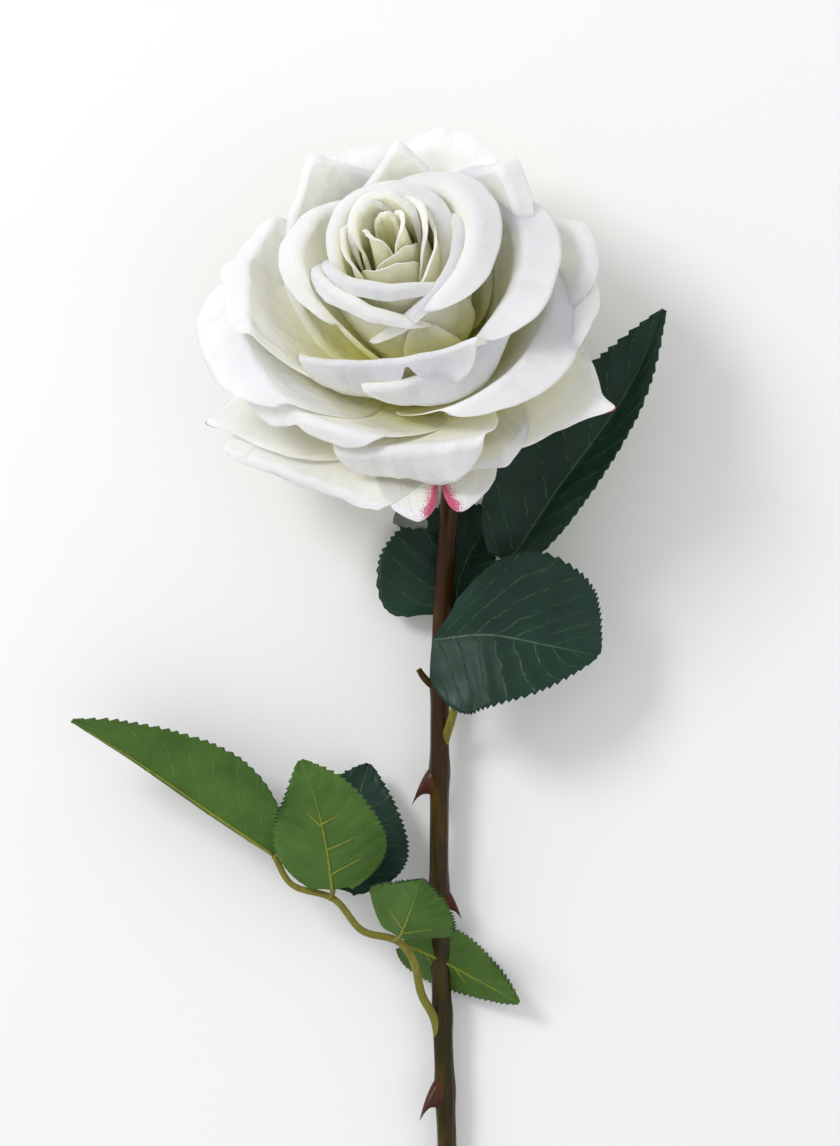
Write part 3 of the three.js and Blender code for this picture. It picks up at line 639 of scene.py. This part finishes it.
# ------------------------------------------------------------------ hip and core
def turned(name, outline, sides, material):
    """A solid turned on the bloom's axis from (radius, height) pairs, top to bottom."""
    rings = [(r, h) for r, h in outline if r > 0]
    verts = []
    for r, h in rings:
        for k in range(sides):
            a = TAU * k / sides
            verts.append(HIP + r * (math.cos(a) * FRONT + math.sin(a) * SIDE) + h * AXIS)
    faces = [(i * sides + k, i * sides + (k + 1) % sides, (i + 1) * sides + (k + 1) % sides,
              (i + 1) * sides + k) for i in range(len(rings) - 1) for k in range(sides)]
    top, bottom = len(verts), len(verts) + 1
    verts += [HIP + outline[0][1] * AXIS, HIP + outline[-1][1] * AXIS]
    end = (len(rings) - 1) * sides
    for k in range(sides):
        faces += [(top, (k + 1) % sides, k), (bottom, end + k, end + (k + 1) % sides)]
    return build(name, [(verts, faces, 0)], [material])


def smooth_outline(points, count):
    line = curve_through([(r, h, 0) for r, h in points], count)
    return [(max(r, 0), h) for r, h, _ in line]


def make_hip():
    outline = [(HIP_RADIUS * r, h) for r, h in HIP_SHAPE] + [(0, -HIP_LENGTH)]
    hand_over(turned("hip_cup", smooth_outline(outline, 40), 32, SEPAL_CLOTH), "hip")
    core = [(0, 42), (3, 40), (6, 34), (8, 24), (8.5, 12), (7.6, 4), (2.7, 2.4), (0, 2.3)]
    hand_over(turned("petal_core", smooth_outline(core, 40), 28, PETAL_WHITE), "core")


# ------------------------------------------------------------------ stem
STEM_RADIUS = 2.7
NECK = HIP - (HIP_LENGTH + 3) * AXIS
STEM_END = HIP[1] - 350
FLOOR = -SHIFT[2]


def stem_height(y):
    """The stem falls evenly from the neck to its cut end on the table."""
    share = (y - NECK[1]) / (STEM_END - NECK[1])
    return NECK[2] - 1 + share * (FLOOR + STEM_RADIUS - NECK[2] + 1)


STEM_LINE = [HIP - (HIP_LENGTH - 1) * AXIS, NECK] + [
    np.array([x, y, stem_height(y)]) for y, x in
    ((39, 10), (19.7, 8.7), (-19, 6.2), (-60, 5.7), (-104, 5.8), (-166, 7.8), (STEM_END, 12))]
# (y on the stem, direction round it in degrees, size)
THORNS = [(-62, 176, 1.25), (-97, 14, 1), (-154, 150, 1.35), (-205, 10, 1), (-248, 170, 1)]
STUB_AT = -34             # y of the short side shoot that was cut off
STEM_KNOTS = [-36, -62, -97, -132, -154, -205, -248]


def stem_radius(t, turns):
    y = NECK[1] + (STEM_END - NECK[1]) * t
    swell = sum(0.16 * math.exp(-((y - knot) / 4.5) ** 2) for knot in STEM_KNOTS)
    wrinkle = 0.020 * np.sin(5 * turns + 0.05 * y) + 0.016 * np.sin(9 * turns - 0.11 * y + 1) \
        + 0.012 * np.sin(14 * turns + 0.23 * y + 2) + 0.012 * np.sin(3 * turns + 0.35 * y)
    return STEM_RADIUS * (1 + 0.06 * t + swell + wrinkle)


def thorn(y, direction, size):
    """A hooked, flattened thorn: broad along the stem at its foot, drawn to a point down the stem."""
    line = curve_through(STEM_LINE, 400)
    spine = line[np.argmin(np.abs(line[:, 1] - y))]
    out = np.array([math.cos(rad(direction)), 0, math.sin(rad(direction))])
    down = np.array([0.0, -1.0, 0.0])
    wide = np.cross(out, down)
    rings, sides = 14, 14
    verts = []
    for i in range(rings):
        t = i / (rings - 1)
        centre = spine + out * (STEM_RADIUS * 0.5 + 5.4 * size * t ** 0.9) + down * (-1.2 + 6 * t ** 2) * size
        long, thick = 4.0 * (1 - t) ** 1.1 * size + 0.06, 2.0 * (1 - t) ** 0.8 * size + 0.06
        for k in range(sides):
            a = TAU * k / sides
            verts.append(centre + down * long * math.cos(a) + wide * thick * math.sin(a))
    faces = [(i * sides + k, i * sides + (k + 1) % sides, (i + 1) * sides + (k + 1) % sides,
              (i + 1) * sides + k) for i in range(rings - 1) for k in range(sides)]
    faces += [tuple(range(sides))[::-1], tuple((rings - 1) * sides + k for k in range(sides))]
    return verts, faces, 1


def make_stem():
    verts, faces = rod_mesh(STEM_LINE, stem_radius, 40, 420)
    end = np.array(STEM_LINE[-1])
    cut = rod_mesh([end + [0, 0.4, 0], end + [0, -0.25, 0]],
                   lambda t, turns: STEM_RADIUS * (0.93 - 0.04 * np.cos(7 * turns)), 28, 1)
    base = np.array([6.1, STUB_AT, stem_height(STUB_AT)])
    stub = rod_mesh([base, base + [-2.6, 1.2, 1.2], base + [-5.2, 3.8, 1.8], base + [-6.6, 5.8, 2.2]],
                    lambda t, turns: 1.35 - 0.5 * t + 0.08 * np.sin(3 * turns + 8 * t), 14, 20)
    piece = build("stem_bark", [(verts, faces, 0), (*stub, 0), (*cut, 2)] + [thorn(*t) for t in THORNS],
                  [STEM_BARK, THORN_BARK, CUT_PITH])
    hand_over(piece, "stem")


# ------------------------------------------------------------------ sepals
SEPALS = [
    dict(at=-31, rim=(36, -26), start=-30, lean=-45),
    dict(at=41, rim=(32, -14), start=-20, lean=-30),
    dict(at=113, rim=(30, 1), start=0, lean=10),
    dict(at=-175, rim=(28, 2), start=0, lean=12),
    dict(at=-103, rim=(30, -2), start=0, lean=5),
]


def make_sepals():
    for i, given in enumerate(SEPALS):
        given = dict(given, foot=(HIP_RADIUS * 0.85, -3), wide=6, band=0.5, roll=3, base=0.7, drop=0,
                     sway=0.4)
        blade = petal_surface(given, 70 + i)

        def surface(u, v, blade=blade):
            teeth = 1 + 0.16 * np.sin(v * 60) * np.abs(u) ** 4 * (v > 0.35)
            return blade(u * (1 - 0.8 * v ** 2.4) * teeth, v)
        piece = sheet(f"sepal_{i + 1}_cloth", surface, 20, 60, 0.5, [SEPAL_CLOTH])
        hand_over(piece, f"sepal_{i + 1}")


# ------------------------------------------------------------------ leaf sprays
UPPER_NODE, LOWER_NODE = -46, -132      # y where each spray leaves the stem
UPPER_STALK = [(6.4, -51, -0.4), (9, -43.5, 3.8), (10.8, -36, 8), (13.5, -22, 11.5),
               (19, -10, 11.5), (26, 2.6, 10.5)]
LOWER_STALK = [(6, -137, -0.4), (4, -130, 2.6), (0.4, -123, 6.2), (-2, -113, 9.5), (-7, -107, 11.5),
               (-17, -104, 12.5), (-25, -95, 12.5), (-37, -91, 11.5), (-42.6, -82.4, 10.5)]
UPPER_BRANCHES = [[(15.5, -18, 11), (13.6, -15.5, 6), (11.8, -12.8, 0.2)],
                  [(13, -23, 11), (11.5, -20, 13.5), (9.5, -19, 15.1)]]
LOWER_BRANCHES = [[(-26, -95, 12.5), (-25.6, -93, 14.5), (-25.5, -91, 16.8)],
                  [(-26, -95, 12.5), (-25.4, -93, 10.5), (-25, -91, 8.1)],
                  [(-8, -107, 11.5), (-6.8, -106.4, 14), (-6, -105, 17.1)],
                  [(-8, -107, 11.5), (-6.2, -107.6, 8.5), (-4.5, -108.4, 5.1)]]
LEAFLETS = [
    ("upper_tip", dict(points=[(26, 2.6, 10.5), (39, 23, 13.5), (59, 51, 17.5), (70.8, 76, 22.5)], face=12,
                       half=(20, 13), fold=(12, 40))),
    ("upper_left", dict(points=[(11.4, -12, -0.5), (11.2, -4, -3.4), (16, 8, -4.4), (25, 18, -4.6)], face=0,
                        half=(24, 15), fold=(2, 52), bulge=0.6)),
    ("upper_front", dict(points=[(3.5, -19.5, 13.5), (20, -18, 17.5), (37, -21, 18), (51.5, -24, 15.5)],
                         face=4, half=(23, 23), fold=(8, 12), bulge=0.62, slant=(0.85, -0.1))),
    ("lower_tip", dict(points=[(-42.6, -82.4, 10.5), (-62, -69, 13.5), (-82, -55, 16.5), (-101, -43, 20.5)],
                       face=205, half=(17, 17), fold=(20, 70))),
    ("lower_mid_front", dict(points=[(-25.5, -92, 16.5), (-27, -80, 22.5), (-30, -66, 27.5),
                                     (-34.5, -54, 29.5)], face=190, half=(17, 16), fold=(10, 14))),
    ("lower_mid_back", dict(points=[(-25, -92, 8.5), (-22, -80, 5.5), (-18, -66, 2.5), (-15, -56, 0.5)],
                            face=-6, half=(18, 18), fold=(8, 10))),
    ("lower_base_left", dict(points=[(-6, -106, 16.5), (-4, -101, 23.5), (-1.5, -94, 29.5), (0, -88, 33.5)],
                             face=185, half=(14, 14), fold=(20, 20))),
    ("lower_base_right", dict(points=[(-5, -108.5, 5.5), (5, -113, 2.3), (18, -120, 1.9), (29, -126, 2.5)],
                              face=190, half=(9, 10), fold=(50, 8))),
]
TEETH = 26                # along each margin
TOOTH = 0.9
LEAF_THICKNESS = 0.4
MIDRIB, SIDE_RIB = 0.5, 0.36    # radii of the raised ribs


def on_spray(points, y):
    """Leaf points are heights above the stem's centre where the spray leaves it."""
    return [np.array(p, float) + [0, 0, stem_height(y)] for p in points]


def leaf_surface(points, face, half, fold, seed, bulge=0.72, slant=(0, 0)):
    line = curve_through(points, 200)
    way = np.gradient(line, axis=0)
    way /= np.linalg.norm(way, axis=1)[:, None]
    share = np.linspace(0, 1, 200)
    phase = np.random.RandomState(200 + seed).uniform(0, TAU, 6)

    def surface(u, v):
        centre = np.stack([np.interp(v, share, line[:, k]) for k in range(3)], axis=1)
        along = np.stack([np.interp(v, share, way[:, k]) for k in range(3)], axis=1)
        flat = np.cross(along, [0, 0, 1.0])
        flat /= np.linalg.norm(flat, axis=1)[:, None]
        up = np.cross(flat, along)
        blade = flat * math.cos(rad(face)) + up * math.sin(rad(face))
        normal = np.cross(blade, along)
        rise = rad(1) * np.where(u < 0, fold[0], fold[1]) * np.tanh(np.abs(u) * 6)
        outline = np.maximum(np.sin(math.pi * (0.035 + 0.955 * v) ** bulge) ** 0.85, 0.04)
        reach = np.where(u < 0, half[0], half[1]) * outline
        saw = (v * TEETH + 0.06 * np.sin(40 * v + phase[0])) % 1.0
        margin = np.abs(u) ** 10 * np.minimum(outline * 3, 1)
        far = np.abs(u) * reach + TOOTH * (1 - saw) ** 0.8 * margin
        back = TOOTH * 0.9 * saw * margin - np.where(u < 0, slant[0], slant[1]) * reach * np.abs(u)
        wave = 0.8 * np.sin(7 * v + 2 * u + phase[1]) * np.abs(u) ** 1.5 \
            + 0.3 * np.sin(TAU * 8.5 * (v - 0.22 * np.abs(u))) * np.abs(u) * (1 - np.abs(u) ** 4) \
            * np.clip(4 * v - 0.4, 0, 1) \
            + 0.5 * np.sin(11 * v + 5 * u + phase[2]) * np.abs(u) ** 3
        return centre + blade * (np.sign(u) * far * np.cos(rise))[:, None] \
            + normal * (far * np.sin(rise) + wave)[:, None] - along * back[:, None]
    return surface


# Raised ribs on the undersides that face up: (start, end) of each along (u, v).
RIBS = {
    "lower_tip": [((0, 0), (0, 0.92)), ((0, 0.10), (0.55, 0.2)), ((0, 0.30), (0.6, 0.42)),
                  ((0, 0.62), (0.5, 0.7))],
    "lower_mid_front": [((0, 0), (0, 0.72)), ((0, 0.12), (-0.6, 0.22)), ((0, 0.32), (-0.55, 0.38)),
                        ((0, 0.52), (-0.4, 0.56)), ((0, 0.5), (0.3, 0.62))],
    "lower_base_left": [((0, 0), (0, 0.6)), ((0, 0.12), (-0.6, 0.3)), ((0, 0.2), (0.5, 0.34))],
    "lower_base_right": [((0, 0), (0, 0.85)), ((0, 0.2), (-0.5, 0.34)), ((0, 0.45), (-0.4, 0.58))],
}


def rib(surface, start, end, radius):
    """A tapering rib laid along the leaf's upper face."""
    t = np.linspace(0, 1, 12)
    u, v = (start[k] + (end[k] - start[k]) * t for k in (0, 1))
    line = surface(u, v) + [0, 0, 0.3]
    return (*rod_mesh(line, lambda share, turns: radius * (1 - 0.7 * share) + 0 * turns, 8, 30), 0)


def make_leaves():
    for i, (name, leaf) in enumerate(LEAFLETS):
        home = UPPER_NODE if name.startswith("upper") else LOWER_NODE
        points = on_spray(leaf["points"], home)
        rest = {k: v for k, v in leaf.items() if k != "points"}
        blade = leaf_surface(points, seed=i, **rest)
        piece = sheet(f"leaflet_{name}_blade", blade, 36, TEETH * 7, LEAF_THICKNESS,
                      [LEAF_TOP, LEAF_UNDER])
        hand_over(piece, f"leaflet_{name}")
        if name in RIBS:
            ribs = [rib(blade, a, b, MIDRIB if k == 0 else SIDE_RIB)
                    for k, (a, b) in enumerate(RIBS[name])]
            hand_over(build(f"leaflet_{name}_ribs", ribs, [RIB_OLIVE]), None)


def make_stalks():
    for name, home, spine, branches in (("upper", UPPER_NODE, UPPER_STALK, UPPER_BRANCHES),
                                        ("lower", LOWER_NODE, LOWER_STALK, LOWER_BRANCHES)):
        def round_stalk(t, turns):
            return (1.35 - 0.5 * t) * (1 + 0.35 * np.exp(-(t / 0.05) ** 2)) \
                * (1 + 0.03 * np.sin(5 * turns + 9 * t) + 0.03 * np.sin(3 * turns - 14 * t))

        def thin_stalk(t, turns):
            return 0.8 * (1 - 0.25 * t) * (1 + 0.04 * np.sin(4 * turns + 6 * t))
        parts = [(*rod_mesh(on_spray(spine, home), round_stalk, 20, 120), 0)]
        parts += [(*rod_mesh(on_spray(b, home), thin_stalk, 16, 16), 0) for b in branches]
        hand_over(build(f"stalk_{name}_rod", parts, [STALK_OLIVE]), f"stalk_{name}")


# ------------------------------------------------------------------ table, light and camera
def make_table():
    nothing_selected()
    bpy.ops.mesh.primitive_plane_add(size=6, location=(0, 0, -0.0004))
    table = bpy.context.object
    table.name = "table_top"
    table.data.materials.append(table_material())


def area_light(name, place_at, aim, power, size):
    light = bpy.data.lights.new(name, "AREA")
    light.energy, light.size = power, size
    lamp = bpy.data.objects.new(name, light)
    lamp.location = place_at
    lamp.rotation_euler = (Vector(aim) - Vector(place_at)).to_track_quat("-Z", "Y").to_euler()
    bpy.context.scene.collection.objects.link(lamp)


def make_light():
    world = bpy.data.worlds.new("studio")
    world.use_nodes = True
    world.node_tree.nodes["Background"].inputs["Color"].default_value = (1, 1, 1, 1)
    world.node_tree.nodes["Background"].inputs["Strength"].default_value = 0.72
    bpy.context.scene.world = world
    bloom = place(HIP + 35 * AXIS)
    area_light("key", (-0.85, 0.75, 1.05), bloom, 10.0, 0.45)
    area_light("fill", (0.9, -0.3, 1.3), bloom, 1.2, 1.0)


VIEW_DISTANCE = 1.6        # camera to the plane that the picture's size is measured on
VIEW_HEIGHT = 0.3323       # how much of that plane the picture shows from top to bottom
VIEW_PLANE = 20            # its height in design space, mm


def make_camera():
    camera = bpy.data.cameras.new("view")
    camera.sensor_width = 36
    camera.lens = 36 * VIEW_DISTANCE / VIEW_HEIGHT
    camera.clip_end = 20
    holder = bpy.data.objects.new("view", camera)
    holder.location = place((0, 0, VIEW_PLANE + VIEW_DISTANCE / MM))
    bpy.context.scene.collection.objects.link(holder)
    bpy.context.scene.camera = holder
    bpy.context.scene.view_settings.view_transform = "Standard"


make_camera()
make_light()
make_table()
make_hip()
make_petals()
make_sepals()
make_stem()
make_stalks()
make_leaves()
